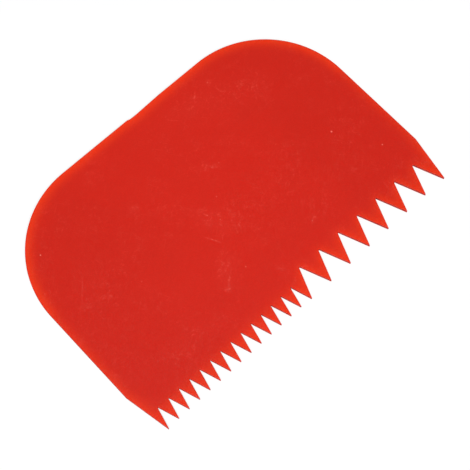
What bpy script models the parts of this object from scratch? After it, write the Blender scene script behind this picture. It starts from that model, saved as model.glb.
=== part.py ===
"""Cake comb: one thin moulded plastic plate, held by its rounded back and drawn along soft icing.

The working edge is a row of V-shaped teeth, fine on one half and coarse on the other. X runs along the
teeth, +Y from the teeth to the back edge and +Z up. The plate lies on z = 0 with the middle of its
bounding box over the origin.
"""

import math

import bmesh
import bpy
from mathutils import Vector

# Plate, in metres
PLATE_THICKNESS = 0.0010
PLATE_LENGTH = 0.0790  # from the line of the coarse tips to the back edge
BACK_CORNER_RADIUS = 0.0315  # the two large corners of the back
EDGE_ROUND = 0.00008  # the broken edge where a face meets the rim

# Tooth row: the fine half ends and the coarse half starts at one shared tip
FINE_COUNT = 14
FINE_PITCH = 0.0040
FINE_DEPTH = 0.0068  # from sharp tip to sharp root
FINE_TIP_RADIUS = 0.00010
FINE_ROOT_RADIUS = 0.00010
FINE_SETBACK = 0.00030  # the fine tips end this far behind the coarse ones
FINE_LEAN = 0.00030  # each fine root lies this far off the middle of its notch
COARSE_COUNT = 7
COARSE_PITCH = 0.0080
COARSE_DEPTH = 0.0099
COARSE_TIP_RADIUS = 0.00010
COARSE_ROOT_RADIUS = 0.00025

# Sides: each runs straight down from the back corner to a shoulder, and from there in to the end tooth
SIDE_OVERHANG = 0.0030  # how far a side stands outside the end tip
SHOULDER_HEIGHT = 0.0147  # above the coarse tips
SHOULDER_RADIUS = 0.0010
END_FLANK_FOOT = 0.00015  # how far outside the end tip the outer flank reaches the line of the tips

# Gate scar: where the moulding was cut from its sprue, a steep step and a long shallow ramp
GATE_STEP_X = -0.0017
GATE_STEP_WIDTH = 0.0008
GATE_STEP_DEPTH = 0.00030
GATE_FLOOR_WIDTH = 0.0025
GATE_DEPTH = 0.00036
GATE_RAMP_WIDTH = 0.0095
GATE_CORNER_RADIUS = 0.0006

# Mesh
ARC_TOLERANCE = 0.00001  # how far a chord may leave its arc
EDGE_SEGMENTS = 2
WELD_DISTANCE = 0.000001
FLAT_ANGLE = math.radians(0.1)  # faces within this of one plane are one face
SHARP_ANGLE = math.radians(40)
RIM_ANGLE = math.radians(80)  # the rim's edges are squarer than this, the corners of the outline are not

# Material
PLATE_RED = "D22C21"
PLATE_ROUGHNESS = 0.38

ROW_LENGTH = FINE_COUNT * FINE_PITCH + COARSE_COUNT * COARSE_PITCH
HALF_WIDTH = ROW_LENGTH / 2 + SIDE_OVERHANG


def linear_colour(hex_colour):
    """An sRGB hex colour as linear red, green, blue and alpha."""
    channels = [int(hex_colour[i : i + 2], 16) / 255 for i in (0, 2, 4)]
    return [c / 12.92 if c <= 0.04045 else ((c + 0.055) / 1.055) ** 2.4 for c in channels] + [1.0]


def tip_drop(radius, pitch, depth):
    """How far the sharp tip of a tooth lies beyond its rounded end."""
    half_angle = math.atan(pitch / 2 / depth)
    return radius * (1 / math.sin(half_angle) - 1)


def crossing(a, b, c, d):
    """The point where the line through a and b meets the line through c and d."""
    along, other = b - a, d - c
    share = (c - a).cross(other) / along.cross(other)
    return a + along * share


def tooth_corners():
    """(sharp corner, radius) for every tip and root, from the fine end of the row to the coarse end."""
    corners = []
    x = -ROW_LENGTH / 2
    fine_tip_y = FINE_SETBACK - tip_drop(FINE_TIP_RADIUS, FINE_PITCH, FINE_DEPTH)
    for _ in range(FINE_COUNT):
        root = Vector((x + FINE_PITCH / 2 - FINE_LEAN, fine_tip_y + FINE_DEPTH))
        corners += [(Vector((x, fine_tip_y)), FINE_TIP_RADIUS), (root, FINE_ROOT_RADIUS)]
        x += FINE_PITCH
    coarse_tip_y = -tip_drop(COARSE_TIP_RADIUS, COARSE_PITCH, COARSE_DEPTH)
    for _ in range(COARSE_COUNT):
        root = Vector((x + COARSE_PITCH / 2, coarse_tip_y + COARSE_DEPTH))
        corners += [(Vector((x, coarse_tip_y)), COARSE_TIP_RADIUS), (root, COARSE_ROOT_RADIUS)]
        x += COARSE_PITCH
    return corners + [(Vector((x, coarse_tip_y)), COARSE_TIP_RADIUS)]


def plate_corners():
    """(sharp corner, radius) all round the plate, anticlockwise, with y = 0 at the coarse tips."""
    teeth = tooth_corners()
    shoulder = Vector((HALF_WIDTH, SHOULDER_HEIGHT))
    foot = Vector((ROW_LENGTH / 2 + END_FLANK_FOOT, 0))
    mirror = Vector((-1, 1))
    end_tip = crossing(teeth[-1][0], teeth[-2][0], shoulder, foot)
    start_tip = crossing(teeth[0][0], teeth[1][0], shoulder * mirror, foot * mirror)
    teeth[-1] = (end_tip, COARSE_TIP_RADIUS)
    teeth[0] = (start_tip, FINE_TIP_RADIUS)
    gate_foot_x = GATE_STEP_X + GATE_STEP_WIDTH
    gate_floor_x = gate_foot_x + GATE_FLOOR_WIDTH
    gate = [
        Vector((gate_floor_x + GATE_RAMP_WIDTH, PLATE_LENGTH)),
        Vector((gate_floor_x, PLATE_LENGTH - GATE_DEPTH)),
        Vector((gate_foot_x, PLATE_LENGTH - GATE_STEP_DEPTH)),
        Vector((GATE_STEP_X, PLATE_LENGTH)),
    ]
    return (
        teeth
        + [(shoulder, SHOULDER_RADIUS), (Vector((HALF_WIDTH, PLATE_LENGTH)), BACK_CORNER_RADIUS)]
        + [(corner, GATE_CORNER_RADIUS) for corner in gate]
        + [(Vector((-HALF_WIDTH, PLATE_LENGTH)), BACK_CORNER_RADIUS), (shoulder * mirror, SHOULDER_RADIUS)]
    )


def rounded(corners):
    """The outline's points, with every sharp corner replaced by its arc."""
    points = []
    for i, (corner, radius) in enumerate(corners):
        before = (corners[i - 1][0] - corner).normalized()
        after = (corners[(i + 1) % len(corners)][0] - corner).normalized()
        half_angle = before.angle(after) / 2
        centre = corner + (before + after).normalized() * radius / math.sin(half_angle)
        start = corner + before * radius / math.tan(half_angle) - centre
        sweep = math.copysign(math.pi - 2 * half_angle, after.cross(before))
        step = 2 * math.acos(1 - min(ARC_TOLERANCE / radius, 1))
        steps = math.ceil(abs(sweep) / step)
        for k in range(steps + 1):
            turn = sweep * k / steps
            across = Vector((-start.y, start.x))
            points.append(centre + start * math.cos(turn) + across * math.sin(turn))
    return points


def plate_material():
    """Red polypropylene, moulded with a soft sheen."""
    material = bpy.data.materials.new("red_polypropylene")
    material.use_nodes = True
    shader = material.node_tree.nodes["Principled BSDF"]
    shader.inputs["Base Color"].default_value = linear_colour(PLATE_RED)
    shader.inputs["Roughness"].default_value = PLATE_ROUGHNESS
    shader.inputs["Metallic"].default_value = 0.0
    return material


def join_faces(mesh):
    """Joins the loose caps to the rim, then makes each cap and each flank one face, for an even broken edge."""
    joined = bmesh.new()
    joined.from_mesh(mesh)
    bmesh.ops.remove_doubles(joined, verts=joined.verts, dist=WELD_DISTANCE)
    bmesh.ops.dissolve_limit(joined, angle_limit=FLAT_ANGLE, verts=joined.verts, edges=joined.edges)
    joined.to_mesh(mesh)
    joined.free()


def comb_plate(collection):
    """The plate: its outline as a filled curve, thickened about its middle, with a broken edge all round."""
    curve = bpy.data.curves.new("comb_outline", "CURVE")
    curve.dimensions = "2D"
    curve.fill_mode = "BOTH"
    curve.extrude = PLATE_THICKNESS / 2
    points = rounded(plate_corners())
    middle_y = (min(point.y for point in points) + max(point.y for point in points)) / 2
    spline = curve.splines.new("POLY")
    spline.points.add(len(points) - 1)
    for spline_point, point in zip(spline.points, points):
        spline_point.co = (point.x, point.y - middle_y, 0, 1)
    spline.use_cyclic_u = True
    outline = bpy.data.objects.new("comb_outline", curve)
    collection.objects.link(outline)
    bpy.context.view_layer.update()

    graph = bpy.context.evaluated_depsgraph_get()
    mesh = bpy.data.meshes.new_from_object(outline.evaluated_get(graph))
    bpy.data.objects.remove(outline)
    mesh.name = "comb_plate"
    join_faces(mesh)
    mesh.materials.clear()
    mesh.materials.append(plate_material())
    mesh.shade_smooth()
    mesh.set_sharp_from_angle(angle=SHARP_ANGLE)
    plate = bpy.data.objects.new("comb_plate", mesh)
    plate.location.z = PLATE_THICKNESS / 2
    collection.objects.link(plate)

    edge = plate.modifiers.new("broken_edge", "BEVEL")
    edge.limit_method = "ANGLE"
    edge.angle_limit = RIM_ANGLE
    edge.width = EDGE_ROUND
    edge.segments = EDGE_SEGMENTS
    edge.use_clamp_overlap = False
    edge.loop_slide = False


def main():
    for old in list(bpy.data.objects):
        bpy.data.objects.remove(old)
    parts = bpy.data.collections.new("cake_comb")
    bpy.context.scene.collection.children.link(parts)
    comb_plate(parts)


main()
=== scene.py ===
"""Cake comb: the finish of the moulded plate, with the floor, the lights and the camera.

The comb is one plate of red polypropylene. Its outline repeats the part's own sizes, in metres. The
plate is built again from it with finer edges, so that a painted glow of the light that comes in at
the rim can be laid into the plastic.
"""

import math

import bmesh
import bpy
import numpy as np
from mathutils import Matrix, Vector
from mathutils.geometry import delaunay_2d_cdt


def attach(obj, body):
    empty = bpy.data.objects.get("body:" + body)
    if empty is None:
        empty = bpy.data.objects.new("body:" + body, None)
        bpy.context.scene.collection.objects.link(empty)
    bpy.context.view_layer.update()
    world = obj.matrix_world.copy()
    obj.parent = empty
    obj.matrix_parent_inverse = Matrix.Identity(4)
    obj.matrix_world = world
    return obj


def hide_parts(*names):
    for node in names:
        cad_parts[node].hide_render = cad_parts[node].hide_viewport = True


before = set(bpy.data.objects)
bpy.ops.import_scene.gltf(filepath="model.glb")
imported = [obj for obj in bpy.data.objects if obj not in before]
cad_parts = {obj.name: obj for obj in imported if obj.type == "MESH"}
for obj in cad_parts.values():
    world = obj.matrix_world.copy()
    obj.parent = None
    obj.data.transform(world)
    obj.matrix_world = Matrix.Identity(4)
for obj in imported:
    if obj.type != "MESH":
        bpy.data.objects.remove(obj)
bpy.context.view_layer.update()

MM = 0.001

# The plate's sizes, as in the part
PLATE_THICKNESS = 0.0010
PLATE_LENGTH = 0.0790
BACK_CORNER_RADIUS = 0.0315
EDGE_ROUND = 0.00008
FINE_COUNT = 14
FINE_PITCH = 0.0040
FINE_DEPTH = 0.0068
FINE_TIP_RADIUS = 0.00010
FINE_ROOT_RADIUS = 0.00010
FINE_SETBACK = 0.00030
FINE_LEAN = 0.00030
COARSE_COUNT = 7
COARSE_PITCH = 0.0080
COARSE_DEPTH = 0.0099
COARSE_TIP_RADIUS = 0.00010
COARSE_ROOT_RADIUS = 0.00025
SIDE_OVERHANG = 0.0030
SHOULDER_HEIGHT = 0.0147
SHOULDER_RADIUS = 0.0010
END_FLANK_FOOT = 0.00015
GATE_STEP_X = -0.0017
GATE_STEP_WIDTH = 0.0008
GATE_STEP_DEPTH = 0.00030
GATE_FLOOR_WIDTH = 0.0025
GATE_DEPTH = 0.00036
GATE_RAMP_WIDTH = 0.0095
GATE_CORNER_RADIUS = 0.0006
ROW_LENGTH = FINE_COUNT * FINE_PITCH + COARSE_COUNT * COARSE_PITCH
HALF_WIDTH = ROW_LENGTH / 2 + SIDE_OVERHANG

# The finer mesh
ARC_TOLERANCE = 0.000004  # how far a chord may leave its arc
EDGE_SEGMENTS = 3
LONGEST_RIM_STEP = 0.0012
GLOW_DEPTHS = (0.00030, 0.00065, 0.0011, 0.0016, 0.0022, 0.0029, 0.0039)  # rows inside the rim
ROW_SHARE = 0.97  # how much of its row's depth a point keeps from every other stretch of rim
ROW_GAP = 0.8  # between the points of a row, as a share of its depth
ROWS_APART = 0.7  # between the points of two rows, as a share of the step in depth
FIELD_STEP = 0.0030  # between points in the plain middle
FIELD_MARGIN = 0.5  # between them and the last row, as a share of that step
FILL_INSIDE = 1  # the kind of triangulation: only what lies inside the outline
SAME_POINT = 1e-9
FACE_WEIGHT = 100  # how strongly the large flat faces set the shading beside them

# The painted glow of the light that comes in at the rim, painted into the colour: the share that
# each stretch of it lets in, and how it spreads
BACK_SHARE = 1.45  # the back and its two corners, painted with the strongest glow, as most light falls on that side
SIDE_SHARE = 0.5
TOOTH_SHARE = 0.7
GLOW_REACH = 0.0015  # how far in it has mostly faded
GLOW_FILL = 4.0  # how soon the glow levels off towards the rim
GLOW_SAMPLE = 0.00005  # the length of rim that counts as one source of it

# Red polypropylene
DEEP_RED = "D8281B"  # the pigment seen through the face
PAINTED_GLOW_RED = "F63D19"  # painted glow: the same where light has come in at the rim
SHADED_WALL_RED = "AE2215"  # the wall of the rim, painted a darker red as shade
RUBBED_AND_SHEEN_RED = "F95C4C"  # where rubbing has whitened it, made paler still as a painted sheen
SPECK_AND_SHEEN_RED = "FF9180"  # small pits and dust, whiter still, and paler again as a painted sheen
POLYPROPYLENE_IOR = 1.49
SATIN_SHINE = 0.35  # specular level, 0.5 when polished: the grain's pits hold back part of it
SATIN_ROUGHNESS = 0.32
GRAIN_ROUGHNESS = 0.04  # how far the grain takes the roughness up and down
RUBBED_ROUGHNESS = 0.4  # added where rubbing is strongest
WALL_ROUGHNESS = 0.4  # added on the wall, which the mould leaves dull
LIGHT_DEPTH = 1.0 * MM  # how far red light spreads in the plastic
LIGHT_SPREAD = (1.0, 0.12, 0.06)  # and red, green and blue light beside that
LIGHT_SHARE = 0.3  # of the light that goes in and comes out again
PAINTED_END_SHADE = 0.945  # painted shade: how dark the plate's far ends are painted, beside its middle
MOTTLE_SHADE = 0.025  # how much more or less pigment there is from one grain of it to the next

# Its marks, in millimetres and degrees
GRAIN = 0.45  # the mould's spark-eroded grain is 0.08, too fine to show, and is drawn coarser
GRAIN_HEIGHT = 0.030
MOTTLE = 0.55  # pigment grains clump at about 0.1, and are drawn coarser to show
PAINTED_SHADE_MIDDLE = 6.0  # the middle of the painted shade, towards the back
PAINTED_SHADE_STRETCH = 2.0  # a way across the plate counts this many times less than one along it
PAINTED_SHADE_FADE = {"From Min": 6.0, "From Max": 48.0}  # the way over which the painted shade darkens the colour
PAINTED_SHADE_WAVES = 22.0  # broad waves in the painted shade,
PAINTED_SHADE_WAVE_SHIFT = 8.0  # and how far they make that way longer or shorter
WEAR_PATCH = 16.0  # how large the areas are that have more or less fine rubbing
RUB_LUMP = 1.4
HAIR_BEND = 2.8  # between the turns of a curled hairline
HAIR_LENGTH = 2.4
BREAK_LENGTH = 0.6  # what breaks rubs and scratches into shorter stretches
SCRATCH_LENGTH = 6.0
SCRATCH_WIDTH = 0.30  # a real one is about 0.05, and is drawn as wide as shows
SCRATCH_TURNS = (38, -52)
AREA_FADE = {"From Min": 0.2, "From Max": 1.2}  # how an area fades, in shares of its half size
RUBS = (  # x, y, length, width, turn and strength of the areas with the most fine rubbing
    (-15.0, -20.0, 5.8, 3.2, 42, 0.85),
    (-12.0, -16.0, 14.0, 8.0, 45, 0.5),
    (-4.0, -3.0, 16.0, 9.0, -60, 0.5),
    (5.2, 12.2, 12.5, 3.4, -31, 0.28),
    (7.4, 10.2, 5.0, 2.0, 0, 0.40),
    (-19.4, 16.4, 4.6, 2.6, -35, 0.8),
    (25.3, 32.2, 3.0, 2.4, 0, 1.0),
    (25.0, 24.0, 40.0, 20.0, -22, 0.18),
    (15.5, 29.5, 24.0, 9.0, -14, 0.40),
    (17.6, -22.2, 4.4, 2.0, 30, 0.8),
    (-46.0, 6.0, 30.0, 14.0, 50, 0.16),
    (-34.0, -25.0, 32.0, 9.0, -8, 0.23),
)
SCRATCHES = (  # x, y, length, width, turn and strength of the single ones
    (-8.9, -6.6, 6.5, 0.5, -62, 1.0),
    (-5.0, 0.4, 3.2, 0.5, -72, 0.8),
    (18.8, 31.4, 4.6, 0.7, 45, 0.9),
    (25.9, 28.4, 5.0, 0.5, -80, 0.7),
    (8.6, 30.0, 5.0, 0.5, -45, 0.5),
    (17.6, -22.0, 3.5, 0.5, 30, 0.5),
    (-47.0, 8.0, 12.0, 0.7, 48, 0.4),
    (-14.2, -19.4, 4.5, 0.7, 42, 0.6),
)
SPECKS = (  # x, y, radius and strength
    (41.7, -5.5, 0.34, 1.0),
    (-49.2, 24.1, 0.26, 0.8),
    (50.1, -19.1, 0.26, 0.7),
    (-7.5, -19.3, 0.26, 0.4),
    (9.3, 10.3, 0.30, 0.16),
    (6.6, 10.6, 0.26, 0.16),
    (1.3, 2.7, 0.30, 0.25),
    (-2.9, -3.4, 0.26, 0.25),
    (25.1, 32.4, 0.36, 0.22),
    (-15.8, -21.0, 0.45, 0.08),
    (-13.2, -18.6, 0.40, 0.12),
    (17.0, -22.3, 0.26, 0.20),
    (-32.9, -2.0, 0.30, 0.18),
    (-4.8, 0.1, 0.26, 0.15),
)

# How its noises turn into marks: between two of its levels, each goes from one strength to another
SOFT = {"interpolation_type": "SMOOTHSTEP"}  # with an easy start and end
MOST_NOISE = {"From Min": 0.3, "From Max": 0.7}  # nearly all of a noise lies between these
LUMPS = {"From Min": 0.52, "From Max": 0.66, "To Max": 0.6}
HAIR_CORE = 0.5  # a hairline runs where its noise has this level, and is gone a little off it
HAIRS = {"From Min": 0.006, "From Max": 0.030, "To Min": 1.0, "To Max": 0.0}
HAIR_ENDS = {"From Min": 0.50, "From Max": 0.60}
RUB_BREAKS = {"From Min": 0.45, "From Max": 0.58, "To Min": 0.15}
SCRATCH_BREAKS = {"From Min": 0.35, "From Max": 0.60, "To Min": 0.12, "To Max": 0.5}
STREAKS = {"From Min": 0.66, "From Max": 0.76}
WORN_PATCHES = {"From Min": 0.40, "From Max": 0.62, "To Min": 0.04, "To Max": 0.20}
STREAK_SHARE = 0.8  # how strong the short scratches are beside the rubbing
RUB_SHARE = 0.65  # how strong the rubbing is in the most rubbed areas,
RUB_HAZE = 0.078  # and the even whitening under it there

# Floor and studio
WHITE = "FFFFFF"
TABLE_GREY = "8C8C8C"
TABLE_ROUGHNESS = 0.9
TABLE_SHINE = 0.1
TABLE_GLOW = 0.755
TABLE_HALF = 20.0
TABLE_DROP = 0.02 * MM  # below the plate, so that the two faces never share a plane
HORIZON_LIGHT = 0.60  # how strong the light from all round is: at the horizon,
SIDE_LIGHT = 0.27  # 16 degrees up and more,
CEILING_LIGHT = 0.02  # and 58 degrees up and more, where it would only put a shine on the face
HORIZON_FADE = {"From Min": 0.10, "From Max": 0.28}  # sines of the angles where it changes
CEILING_FADE = {"From Min": 0.55, "From Max": 0.85}
SOFTBOX_PLACE = Vector((-0.533, -0.924, 1.924))
SOFTBOX_SIZE = 1.47
SOFTBOX_POWER = 52.0  # watts

# Camera, from the photograph's perspective: the teeth's two pitches and the plate's outline
CAMERA_PLACE = Vector((-0.09428, -0.09422, 0.34193))
CAMERA_TURN = (19.962, -1.462, -43.261)  # degrees about X, Y, Z
CAMERA_LENS = 93.95  # millimetres
CAMERA_SENSOR = 36.0
CAMERA_NEAR = 0.01

# The colour sockets of a mix node, whose names its other sockets share
MIX_FIRST, MIX_SECOND, MIX_RESULT = 6, 7, 2


def linear_colour(hex_colour):
    """An sRGB hex colour as linear red, green, blue and alpha."""
    channels = [int(hex_colour[i : i + 2], 16) / 255 for i in (0, 2, 4)]
    return [c / 12.92 if c <= 0.04045 else ((c + 0.055) / 1.055) ** 2.4 for c in channels] + [1.0]


def tip_drop(radius, pitch, depth):
    """How far the sharp tip of a tooth lies beyond its rounded end."""
    half_angle = math.atan(pitch / 2 / depth)
    return radius * (1 / math.sin(half_angle) - 1)


def crossing(a, b, c, d):
    """The point where the line through a and b meets the line through c and d."""
    along, other = b - a, d - c
    share = (c - a).cross(other) / along.cross(other)
    return a + along * share


def tooth_corners():
    """(sharp corner, radius) for every tip and root, from the fine end of the row to the coarse."""
    corners = []
    x = -ROW_LENGTH / 2
    fine_tip_y = FINE_SETBACK - tip_drop(FINE_TIP_RADIUS, FINE_PITCH, FINE_DEPTH)
    for _ in range(FINE_COUNT):
        root = Vector((x + FINE_PITCH / 2 - FINE_LEAN, fine_tip_y + FINE_DEPTH))
        corners += [(Vector((x, fine_tip_y)), FINE_TIP_RADIUS), (root, FINE_ROOT_RADIUS)]
        x += FINE_PITCH
    coarse_tip_y = -tip_drop(COARSE_TIP_RADIUS, COARSE_PITCH, COARSE_DEPTH)
    for _ in range(COARSE_COUNT):
        root = Vector((x + COARSE_PITCH / 2, coarse_tip_y + COARSE_DEPTH))
        corners += [(Vector((x, coarse_tip_y)), COARSE_TIP_RADIUS), (root, COARSE_ROOT_RADIUS)]
        x += COARSE_PITCH
    return corners + [(Vector((x, coarse_tip_y)), COARSE_TIP_RADIUS)]


def plate_corners():
    """(sharp corner, radius) all round the plate, anticlockwise, with y = 0 at the coarse tips."""
    teeth = tooth_corners()
    shoulder = Vector((HALF_WIDTH, SHOULDER_HEIGHT))
    foot = Vector((ROW_LENGTH / 2 + END_FLANK_FOOT, 0))
    mirror = Vector((-1, 1))
    end_tip = crossing(teeth[-1][0], teeth[-2][0], shoulder, foot)
    start_tip = crossing(teeth[0][0], teeth[1][0], shoulder * mirror, foot * mirror)
    teeth[-1] = (end_tip, COARSE_TIP_RADIUS)
    teeth[0] = (start_tip, FINE_TIP_RADIUS)
    gate_foot_x = GATE_STEP_X + GATE_STEP_WIDTH
    gate_floor_x = gate_foot_x + GATE_FLOOR_WIDTH
    gate = [
        Vector((gate_floor_x + GATE_RAMP_WIDTH, PLATE_LENGTH)),
        Vector((gate_floor_x, PLATE_LENGTH - GATE_DEPTH)),
        Vector((gate_foot_x, PLATE_LENGTH - GATE_STEP_DEPTH)),
        Vector((GATE_STEP_X, PLATE_LENGTH)),
    ]
    back = Vector((HALF_WIDTH, PLATE_LENGTH))
    return (
        teeth
        + [(shoulder, SHOULDER_RADIUS), (back, BACK_CORNER_RADIUS)]
        + [(corner, GATE_CORNER_RADIUS) for corner in gate]
        + [(back * mirror, BACK_CORNER_RADIUS), (shoulder * mirror, SHOULDER_RADIUS)]
    )


def rounded(corners):
    """The outline's points: every sharp corner becomes an arc, and long steps are divided."""
    points = []
    for i, (corner, radius) in enumerate(corners):
        before = (corners[i - 1][0] - corner).normalized()
        after = (corners[(i + 1) % len(corners)][0] - corner).normalized()
        half_angle = before.angle(after) / 2
        centre = corner + (before + after).normalized() * radius / math.sin(half_angle)
        start = corner + before * radius / math.tan(half_angle) - centre
        sweep = math.copysign(math.pi - 2 * half_angle, after.cross(before))
        step = 2 * math.acos(1 - min(ARC_TOLERANCE / radius, 1))
        steps = math.ceil(abs(sweep) / step)
        for k in range(steps + 1):
            turn = sweep * k / steps
            across = Vector((-start.y, start.x))
            points.append(centre + start * math.cos(turn) + across * math.sin(turn))
    finer = []
    for i, point in enumerate(points):
        step = points[(i + 1) % len(points)] - point
        count = max(math.ceil(step.length / LONGEST_RIM_STEP), 1)
        finer += [point + step * k / count for k in range(count)]
    middle_y = (min(point.y for point in finer) + max(point.y for point in finer)) / 2
    return np.array([(point.x, point.y - middle_y) for point in finer])


def normals_out(outline):
    """At each point of the outline, the way out that moves both its edges by one unit."""
    edge = np.roll(outline, -1, axis=0) - outline
    edge /= np.linalg.norm(edge, axis=1)[:, None]
    out = np.stack([edge[:, 1], -edge[:, 0]], axis=1)
    before = np.roll(out, 1, axis=0)
    return (out + before) / (1 + (out * before).sum(axis=1))[:, None]


def rim_reach(points, outline):
    """Each point's distance from the rim."""
    start, end = outline, np.roll(outline, -1, axis=0)
    along = end - start
    length2 = (along**2).sum(axis=1)
    nearest = np.empty(len(points))
    for i, point in enumerate(points):
        share = np.clip(((point - start) * along).sum(axis=1) / length2, 0, 1)
        nearest[i] = np.sqrt((((start + along * share[:, None]) - point) ** 2).sum(axis=1).min())
    return nearest


def rim_share(middle, outline):
    """How much painted glow each stretch of the rim lets in."""
    corner_start = outline[:, 1].max() - BACK_CORNER_RADIUS
    shoulder = outline[:, 1].min() + SHOULDER_HEIGHT
    above_teeth = np.where(middle[:, 1] > corner_start, BACK_SHARE, SIDE_SHARE)
    return np.where(middle[:, 1] > shoulder, above_teeth, TOOTH_SHARE)


def painted_rim_glow(points, outline):
    """How strongly each point is painted with a glow of the light that comes in at the rim, from 0
    to 1.

    The light from each direction fades with the distance of the rim that way, and its mean over all
    directions is high in a thin tip, lower beside a straight edge and least behind a root. It then
    levels off, as the plastic next to the rim is already full of light.
    """
    start, end = outline, np.roll(outline, -1, axis=0)
    counts = np.maximum(np.ceil(np.linalg.norm(end - start, axis=1) / GLOW_SAMPLE), 1).astype(int)
    middle, step = [], []
    for a, b, count in zip(start, end, counts):
        middle.append(a + (b - a) * ((np.arange(count) + 0.5) / count)[:, None])
        step.append(np.repeat([(b - a) / count], count, axis=0))
    middle, step = np.concatenate(middle), np.concatenate(step)
    share = rim_share(middle, outline)
    painted_glow = np.empty(len(points))
    for i, point in enumerate(points):
        away = middle - point
        distance2 = (away**2).sum(axis=1)
        angle = (away[:, 0] * step[:, 1] - away[:, 1] * step[:, 0]) / distance2
        painted_glow[i] = (angle * share * np.exp(-distance2 / (2 * GLOW_REACH**2))).sum() / (2 * math.pi)
    return 1 - np.exp(-GLOW_FILL * painted_glow)


def inside(points, outline):
    """Which of the points lie inside the outline."""
    found = np.zeros(len(points), bool)
    for a, b in zip(outline, np.roll(outline, -1, axis=0)):
        if a[1] == b[1]:
            continue
        spans = (a[1] > points[:, 1]) != (b[1] > points[:, 1])
        edge_x = a[0] + (points[:, 1] - a[1]) / (b[1] - a[1]) * (b[0] - a[0])
        found ^= spans & (points[:, 0] < edge_x)
    return found


def apart(points, others, gap):
    """Those of the points that lie at least gap from all the others and from each other."""
    kept = []
    for point in points:
        near = np.array(kept + [p for p in others if abs(p[0] - point[0]) < gap])
        if len(near) == 0 or ((near - point) ** 2).sum(axis=1).min() > gap**2:
            kept.append(point)
    return kept


def inner_points(outline):
    """Points for the flat faces: close rows that follow the rim, and a wide field in the middle."""
    out = normals_out(outline)
    out /= np.linalg.norm(out, axis=1)[:, None]
    kept = []
    last_depth = 0.0
    for depth in GLOW_DEPTHS:
        row = outline - out * depth
        row = row[inside(row, outline)]
        row = row[rim_reach(row, outline) > ROW_SHARE * depth]
        row = apart(row, [], ROW_GAP * depth)
        kept += apart(row, kept, ROWS_APART * (depth - last_depth))
        last_depth = depth
    low, high = outline.min(axis=0), outline.max(axis=0)
    across = np.arange(low[0], high[0], FIELD_STEP)
    up = np.arange(low[1] + FIELD_STEP / 2, high[1], FIELD_STEP * math.sin(math.radians(60)))
    field = np.array([(x + k % 2 * FIELD_STEP / 2, y) for k, y in enumerate(up) for x in across])
    field = field[inside(field, outline)]
    field = field[rim_reach(field, outline) > last_depth + FIELD_MARGIN * FIELD_STEP]
    return np.vstack([kept, field])


def moulded_plate():
    """The plate: a rounded rim drawn through rings of the outline, closed by two flat faces."""
    outline = rounded(plate_corners())
    out = normals_out(outline)
    quarter = [math.radians(90 * k / EDGE_SEGMENTS) for k in range(EDGE_SEGMENTS + 1)]
    levels = [(EDGE_ROUND * (1 - math.sin(a)), EDGE_ROUND * (1 - math.cos(a))) for a in quarter]
    rings = levels + [(inset, PLATE_THICKNESS - z) for inset, z in reversed(levels)]
    count = len(outline)

    inner = inner_points(outline)
    face_outline = outline - out * EDGE_ROUND
    flat = np.vstack([face_outline, inner])
    edges = [(i, (i + 1) % count) for i in range(count)]
    filled = delaunay_2d_cdt([Vector(p) for p in flat], edges, [], FILL_INSIDE, SAME_POINT)
    points, _, triangles, origins, _, _ = filled
    if len(points) != len(flat):
        raise ValueError("the flat face needs points of its own")
    new_to_old = [origin[0] for origin in origins]
    triangles = [[new_to_old[v] for v in triangle] for triangle in triangles]

    made = bmesh.new()
    painted_glow_layer = made.verts.layers.float.new("painted_rim_glow")
    wall_layer = made.verts.layers.float.new("rim_wall")
    # painted glow: the light that comes in at the rim, painted into the colour by way of the
    # vertices
    painted_glows = painted_rim_glow(flat, outline)

    def vertices(points, z, painted_glows, wall):
        """A row of vertices at one height, each with its painted glow, on the rim's wall or off it.
        """
        row = [made.verts.new((*point, z)) for point in points]
        for vertex, painted_glow in zip(row, painted_glows):
            vertex[painted_glow_layer] = painted_glow
            vertex[wall_layer] = wall
        return row

    rows = []
    for inset, z in rings:
        rows.append(vertices(outline - out * inset, z, painted_glows, float(inset < EDGE_ROUND)))
    for lower, upper in zip(rows, rows[1:]):
        for i in range(count):
            j = (i + 1) % count
            made.faces.new((lower[i], lower[j], upper[j], upper[i]))
    for row, z, turned in ((rows[0], 0.0, True), (rows[-1], PLATE_THICKNESS, False)):
        face = row + vertices(inner, z, painted_glows[count:], 0.0)
        for triangle in triangles:
            made.faces.new([face[v] for v in (reversed(triangle) if turned else triangle)])
    mesh = bpy.data.meshes.new("moulded_plate")
    made.to_mesh(mesh)
    made.free()
    mesh.shade_smooth()
    plate = bpy.data.objects.new("moulded_plate", mesh)
    bpy.context.scene.collection.objects.link(plate)
    weighted = plate.modifiers.new("flat_faces", "WEIGHTED_NORMAL")
    weighted.weight = FACE_WEIGHT
    return plate


def add(tree, kind, settings, inputs, output=0):
    """Adds a node with its settings, sets or links its inputs, and gives one of its outputs."""
    node = tree.nodes.new(kind)
    for name, value in settings.items():
        setattr(node, name, value)
    for name, value in inputs.items():
        if isinstance(value, bpy.types.NodeSocket):
            tree.links.new(value, node.inputs[name])
        else:
            node.inputs[name].default_value = value
    return node.outputs[output]


def worn_areas(tree, in_mm, areas):
    """How worn each point is by the strongest of these areas, all on the upper face."""
    strongest = 0.0
    for x, y, length, width, turn, strength in areas:
        frame_of_area = {
            "Vector": in_mm,
            "Location": (x, y, PLATE_THICKNESS / MM),
            "Rotation": (0, 0, math.radians(turn)),
            "Scale": (length / 2, width / 2, 1.0),
        }
        across = add(tree, "ShaderNodeMapping", {"vector_type": "TEXTURE"}, frame_of_area)
        away = add(tree, "ShaderNodeVectorMath", {"operation": "LENGTH"}, {0: across}, "Value")
        fade = {"Value": away, **AREA_FADE, "To Min": strength, "To Max": 0.0}
        here = add(tree, "ShaderNodeMapRange", SOFT, fade)
        strongest = add(tree, "ShaderNodeMath", {"operation": "MAXIMUM"}, {0: here, 1: strongest})
    return strongest


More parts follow.
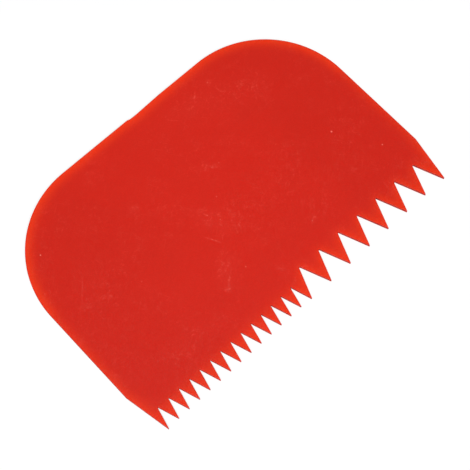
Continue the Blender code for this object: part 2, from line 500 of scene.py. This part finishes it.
def fine_rubbing(tree, in_mm, breaks):
    """Small whitened lumps and curled hairlines, each broken into short stretches."""
    lumps = {"Vector": in_mm, "Scale": 1 / RUB_LUMP, "Detail": 5, "Distortion": 0.8}
    lumps = add(tree, "ShaderNodeTexNoise", {}, lumps)
    lumps = add(tree, "ShaderNodeMapRange", SOFT, {"Value": lumps, **LUMPS})
    bends = {"Vector": in_mm, "Scale": 1 / HAIR_BEND, "Detail": 3, "Distortion": 1}
    bends = add(tree, "ShaderNodeTexNoise", {}, bends)
    off_core = add(tree, "ShaderNodeMath", {"operation": "SUBTRACT"}, {0: bends, 1: HAIR_CORE})
    off_core = add(tree, "ShaderNodeMath", {"operation": "ABSOLUTE"}, {0: off_core})
    hairs = add(tree, "ShaderNodeMapRange", SOFT, {"Value": off_core, **HAIRS})
    ends = {"Vector": in_mm, "Scale": 1 / HAIR_LENGTH, "Detail": 1}
    ends = add(tree, "ShaderNodeTexNoise", {}, ends)
    ends = add(tree, "ShaderNodeMapRange", SOFT, {"Value": ends, **HAIR_ENDS})
    hairs = add(tree, "ShaderNodeMath", {"operation": "MULTIPLY"}, {0: hairs, 1: ends})
    rubbing = add(tree, "ShaderNodeMath", {"operation": "MAXIMUM"}, {0: lumps, 1: hairs})
    breaks = add(tree, "ShaderNodeMapRange", SOFT, {"Value": breaks, **RUB_BREAKS})
    return add(tree, "ShaderNodeMath", {"operation": "MULTIPLY"}, {0: rubbing, 1: breaks})


def fine_scratches(tree, in_mm):
    """Short straight scratches in the two directions in which the comb is wiped."""
    scratches = 0.0
    for turn in SCRATCH_TURNS:
        along = {
            "Vector": in_mm,
            "Rotation": (0, 0, math.radians(turn)),
            "Scale": (SCRATCH_LENGTH, SCRATCH_WIDTH, 1.0),
        }
        along = add(tree, "ShaderNodeMapping", {"vector_type": "TEXTURE"}, along)
        streaks = {"Vector": along, "Scale": 1.0, "Detail": 1}
        streaks = add(tree, "ShaderNodeTexNoise", {}, streaks)
        streaks = add(tree, "ShaderNodeMapRange", SOFT, {"Value": streaks, **STREAKS})
        both = {0: streaks, 1: scratches}
        scratches = add(tree, "ShaderNodeMath", {"operation": "MAXIMUM"}, both)
    return scratches


def wear(tree, in_mm):
    """How far use has whitened the plastic at each point, from 0 to 1."""
    breaks = {"Vector": in_mm, "Scale": 1 / BREAK_LENGTH, "Detail": 2}
    breaks = add(tree, "ShaderNodeTexNoise", {}, breaks)
    rubbing = fine_rubbing(tree, in_mm, breaks)
    everywhere = {0: fine_scratches(tree, in_mm), 1: STREAK_SHARE, 2: rubbing}
    everywhere = add(tree, "ShaderNodeMath", {"operation": "MULTIPLY_ADD"}, everywhere)
    patches = {"Vector": in_mm, "Scale": 1 / WEAR_PATCH, "Detail": 2}
    patches = add(tree, "ShaderNodeTexNoise", {}, patches)
    patches = add(tree, "ShaderNodeMapRange", SOFT, {"Value": patches, **WORN_PATCHES})
    everywhere = {0: everywhere, 1: patches}
    everywhere = add(tree, "ShaderNodeMath", {"operation": "MULTIPLY"}, everywhere)

    in_rubs = {0: rubbing, 1: RUB_SHARE, 2: RUB_HAZE}
    in_rubs = add(tree, "ShaderNodeMath", {"operation": "MULTIPLY_ADD"}, in_rubs)
    fine = {0: in_rubs, 1: worn_areas(tree, in_mm, RUBS), 2: everywhere}
    fine = add(tree, "ShaderNodeMath", {"operation": "MULTIPLY_ADD"}, fine)

    breaks = add(tree, "ShaderNodeMapRange", SOFT, {"Value": breaks, **SCRATCH_BREAKS})
    single = {0: worn_areas(tree, in_mm, SCRATCHES), 1: breaks}
    single = add(tree, "ShaderNodeMath", {"operation": "MULTIPLY"}, single)
    return add(tree, "ShaderNodeMath", {"operation": "MAXIMUM"}, {0: fine, 1: single})


def painted_shade_and_mottle(tree, in_mm):
    """The colour's strength: full in the middle, darker in wavy painted shade towards the plate's
    ends, times a mottle of pigment.
    """
    way = {"Vector": in_mm, "Location": (0, PAINTED_SHADE_MIDDLE, 0), "Scale": (1.0, PAINTED_SHADE_STRETCH, 1.0)}
    way = add(tree, "ShaderNodeMapping", {"vector_type": "TEXTURE"}, way)
    way = add(tree, "ShaderNodeVectorMath", {"operation": "LENGTH"}, {0: way}, "Value")
    waves = {"Vector": in_mm, "Scale": 1 / PAINTED_SHADE_WAVES, "Detail": 3, "Distortion": 1}
    waves = add(tree, "ShaderNodeTexNoise", {}, waves)
    waves = {"Value": waves, **MOST_NOISE, "To Min": -PAINTED_SHADE_WAVE_SHIFT, "To Max": PAINTED_SHADE_WAVE_SHIFT}
    waves = add(tree, "ShaderNodeMapRange", SOFT, waves)
    way = add(tree, "ShaderNodeMath", {"operation": "ADD"}, {0: way, 1: waves})
    # painted shade: darker towards the plate's ends
    shade = {"Value": way, **PAINTED_SHADE_FADE, "To Min": 1.0, "To Max": PAINTED_END_SHADE}
    shade = add(tree, "ShaderNodeMapRange", SOFT, shade)
    mottle = {"Vector": in_mm, "Scale": 1 / MOTTLE, "Detail": 2}
    mottle = add(tree, "ShaderNodeTexNoise", {}, mottle)
    less, more = 1 - MOTTLE_SHADE, 1 + MOTTLE_SHADE
    mottle = {"Value": mottle, **MOST_NOISE, "To Min": less, "To Max": more}
    mottle = add(tree, "ShaderNodeMapRange", SOFT, mottle)
    return add(tree, "ShaderNodeMath", {"operation": "MULTIPLY"}, {0: shade, 1: mottle})


def red_polypropylene():
    """Polypropylene with a red pigment, injection moulded in a finely spark-eroded mould.

    The mould gives it a satin sheen with a fine grain. Light that comes in at the rim is painted in
    as a glow, painted shade darkens its ends and its rim's wall, and rubbing leaves it paler and
    duller, with a little painted sheen on the rubs and specks.
    """
    material = bpy.data.materials.new("red_polypropylene")
    material.use_nodes = True
    tree = material.node_tree
    shader = tree.nodes["Principled BSDF"]
    shader.inputs["IOR"].default_value = POLYPROPYLENE_IOR
    shader.inputs["Specular IOR Level"].default_value = SATIN_SHINE
    shader.inputs["Subsurface Weight"].default_value = LIGHT_SHARE
    shader.inputs["Subsurface Radius"].default_value = LIGHT_SPREAD
    shader.inputs["Subsurface Scale"].default_value = LIGHT_DEPTH
    place = add(tree, "ShaderNodeTexCoord", {}, {}, "Object")
    in_mm = add(tree, "ShaderNodeVectorMath", {"operation": "SCALE"}, {0: place, "Scale": 1 / MM})
    # the painted glow at the rim, read from the vertices
    painted_glow = add(tree, "ShaderNodeAttribute", {"attribute_name": "painted_rim_glow"}, {}, "Fac")
    # the rim's wall: painted a darker red as shade, and made duller
    wall = add(tree, "ShaderNodeAttribute", {"attribute_name": "rim_wall"}, {}, "Fac")
    # real wear and specks, whose colours also carry a painted sheen
    worn = wear(tree, in_mm)
    specks = [(x, y, 2 * radius, 2 * radius, 0, strength) for x, y, radius, strength in SPECKS]
    specks = worn_areas(tree, in_mm, specks)
    grain = {"Vector": in_mm, "Scale": 1 / GRAIN, "Detail": 2}
    grain = add(tree, "ShaderNodeTexNoise", {}, grain)

    red = linear_colour(DEEP_RED)
    reds = ((painted_glow, PAINTED_GLOW_RED), (wall, SHADED_WALL_RED), (worn, RUBBED_AND_SHEEN_RED), (specks, SPECK_AND_SHEEN_RED))
    for share, other in reds:
        pair = {"Factor": share, MIX_FIRST: red, MIX_SECOND: linear_colour(other)}
        red = add(tree, "ShaderNodeMix", {"data_type": "RGBA"}, pair, MIX_RESULT)
    # the painted shade towards the ends, with the pigment's mottle
    shaded = {0: red, "Scale": painted_shade_and_mottle(tree, in_mm)}
    red = add(tree, "ShaderNodeVectorMath", {"operation": "SCALE"}, shaded)
    tree.links.new(red, shader.inputs["Base Color"])

    low, high = SATIN_ROUGHNESS - GRAIN_ROUGHNESS, SATIN_ROUGHNESS + GRAIN_ROUGHNESS
    dull = {"Value": grain, **MOST_NOISE, "To Min": low, "To Max": high}
    dull = add(tree, "ShaderNodeMapRange", SOFT, dull)
    for share, rougher in ((worn, RUBBED_ROUGHNESS), (wall, WALL_ROUGHNESS)):
        duller = {0: share, 1: rougher, 2: dull}
        dull = add(tree, "ShaderNodeMath", {"operation": "MULTIPLY_ADD"}, duller)
    tree.links.new(dull, shader.inputs["Roughness"])

    height = add(tree, "ShaderNodeMath", {"operation": "ADD"}, {0: grain, 1: worn})
    bump = {"Height": height, "Distance": GRAIN_HEIGHT * MM, "Strength": 1.0}
    bump = add(tree, "ShaderNodeBump", {}, bump)
    tree.links.new(bump, shader.inputs["Normal"])
    return material


def lit_table():
    """The floor: cast opal acrylic with a matt top, lit a little from below, for a soft shadow."""
    mesh = bpy.data.meshes.new("white_table")
    near, far = -TABLE_HALF, TABLE_HALF
    corners = [(near, near), (far, near), (far, far), (near, far)]
    mesh.from_pydata([(x, y, -TABLE_DROP) for x, y in corners], [], [(0, 1, 2, 3)])
    table = bpy.data.objects.new("white_table", mesh)
    bpy.context.scene.collection.objects.link(table)
    material = bpy.data.materials.new("opal_acrylic")
    material.use_nodes = True
    shader = material.node_tree.nodes["Principled BSDF"]
    shader.inputs["Base Color"].default_value = linear_colour(TABLE_GREY)
    shader.inputs["Roughness"].default_value = TABLE_ROUGHNESS
    shader.inputs["Specular IOR Level"].default_value = TABLE_SHINE
    shader.inputs["Emission Color"].default_value = linear_colour(WHITE)
    shader.inputs["Emission Strength"].default_value = TABLE_GLOW
    mesh.materials.append(material)


def softbox():
    """A large square light on the camera's side, turned to the plate."""
    light = bpy.data.lights.new("softbox_front", "AREA")
    light.shape = "SQUARE"
    light.size = SOFTBOX_SIZE
    light.energy = SOFTBOX_POWER
    lamp = bpy.data.objects.new("softbox_front", light)
    lamp.location = SOFTBOX_PLACE
    lamp.rotation_mode = "QUATERNION"
    lamp.rotation_quaternion = (-SOFTBOX_PLACE).to_track_quat("-Z", "Y")
    bpy.context.scene.collection.objects.link(lamp)


def light_all_round():
    """White light from all round, dimmer above the horizon and nearly gone overhead."""
    world = bpy.data.worlds.new("studio")
    bpy.context.scene.world = world
    world.use_nodes = True
    tree = world.node_tree
    way = add(tree, "ShaderNodeTexCoord", {}, {}, "Generated")
    height = add(tree, "ShaderNodeSeparateXYZ", {}, {0: way}, "Z")
    strength = {"Value": height, **HORIZON_FADE, "To Min": HORIZON_LIGHT, "To Max": SIDE_LIGHT}
    strength = add(tree, "ShaderNodeMapRange", SOFT, strength)
    strength = {"Value": height, **CEILING_FADE, "To Min": strength, "To Max": CEILING_LIGHT}
    strength = add(tree, "ShaderNodeMapRange", SOFT, strength)
    background = tree.nodes["Background"]
    tree.links.new(strength, background.inputs["Strength"])
    background.inputs["Color"].default_value = linear_colour(WHITE)


def camera():
    """The camera, where the photograph was taken from."""
    lens = bpy.data.cameras.new("camera")
    lens.lens = CAMERA_LENS
    lens.sensor_width = CAMERA_SENSOR
    lens.clip_start = CAMERA_NEAR
    viewer = bpy.data.objects.new("camera", lens)
    viewer.location = CAMERA_PLACE
    viewer.rotation_euler = [math.radians(a) for a in CAMERA_TURN]
    bpy.context.scene.collection.objects.link(viewer)
    bpy.context.scene.camera = viewer


plate = moulded_plate()
plate.data.materials.append(red_polypropylene())
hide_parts("comb_plate")
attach(plate, "root")
lit_table()
light_all_round()
softbox()
camera()
bpy.context.scene.view_settings.view_transform = "Standard"
